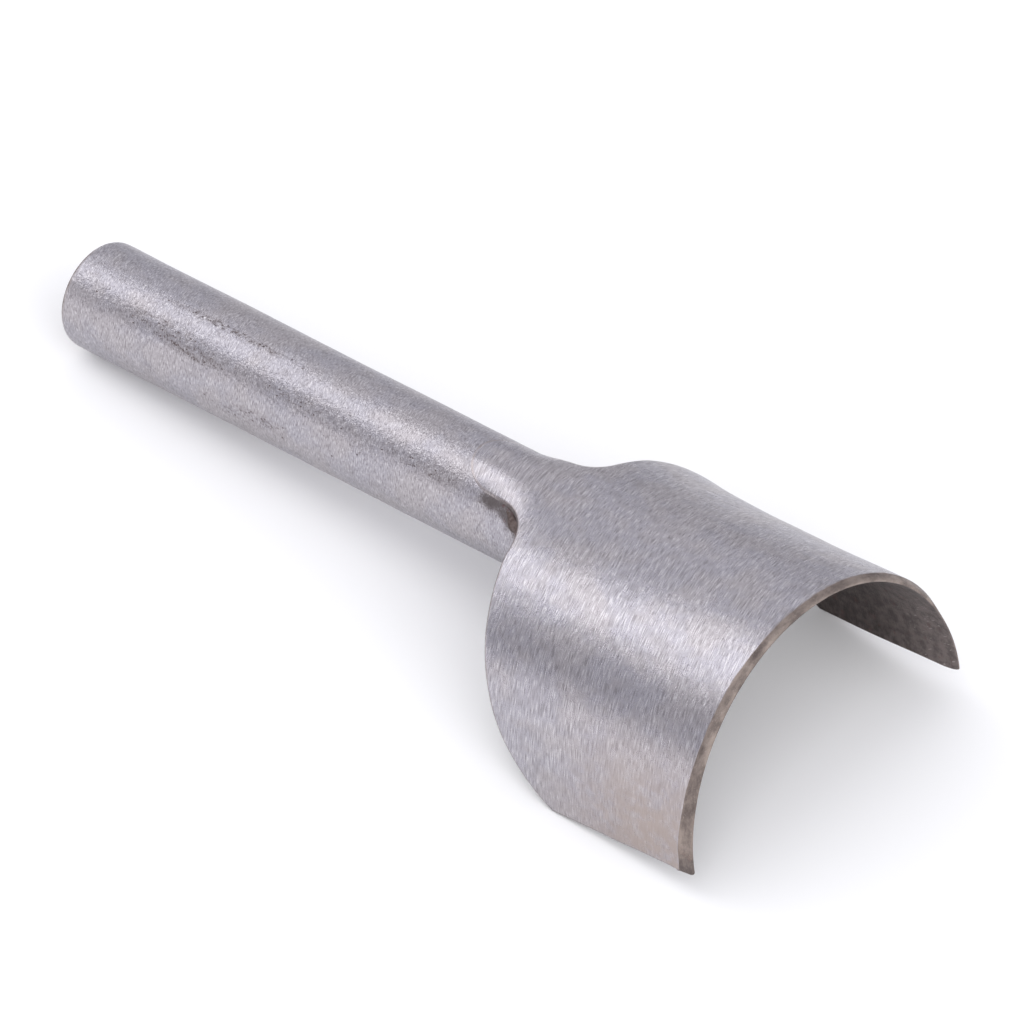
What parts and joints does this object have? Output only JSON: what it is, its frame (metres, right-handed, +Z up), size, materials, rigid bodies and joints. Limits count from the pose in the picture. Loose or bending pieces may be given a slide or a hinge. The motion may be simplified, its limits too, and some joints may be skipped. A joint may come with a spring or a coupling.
{
  "type": "half-round strap-end punch",
  "caption": "All-steel half-round leather strap-end punch: a round bar to strike, with a bent half-round cutting plate let into its front end.",
  "frame": {"origin": "centre of the bounding box at table height, with the tool at rest on a table", "axes": "+X from the struck end towards the cutting edge, along the table; +Z up; the bar rises 6.7 degrees towards the blade because the tool lies on its struck end and on the heel corners of the blade"},
  "size_m": [0.113, 0.0468, 0.0265],
  "materials": {
    "bar_steel": "turned and belt ground, with small pits",
    "blade_steel": "ground across, dark inside, brown on the bevel",
    "weld_metal": "oxidised, rough"
  },
  "bodies": {
    "root": {"shank": "bar_steel", "blade": "blade_steel", "weld_left": "weld_metal", "weld_right": "weld_metal", "weld_nose": "weld_metal"}
  },
  "joints": []
}
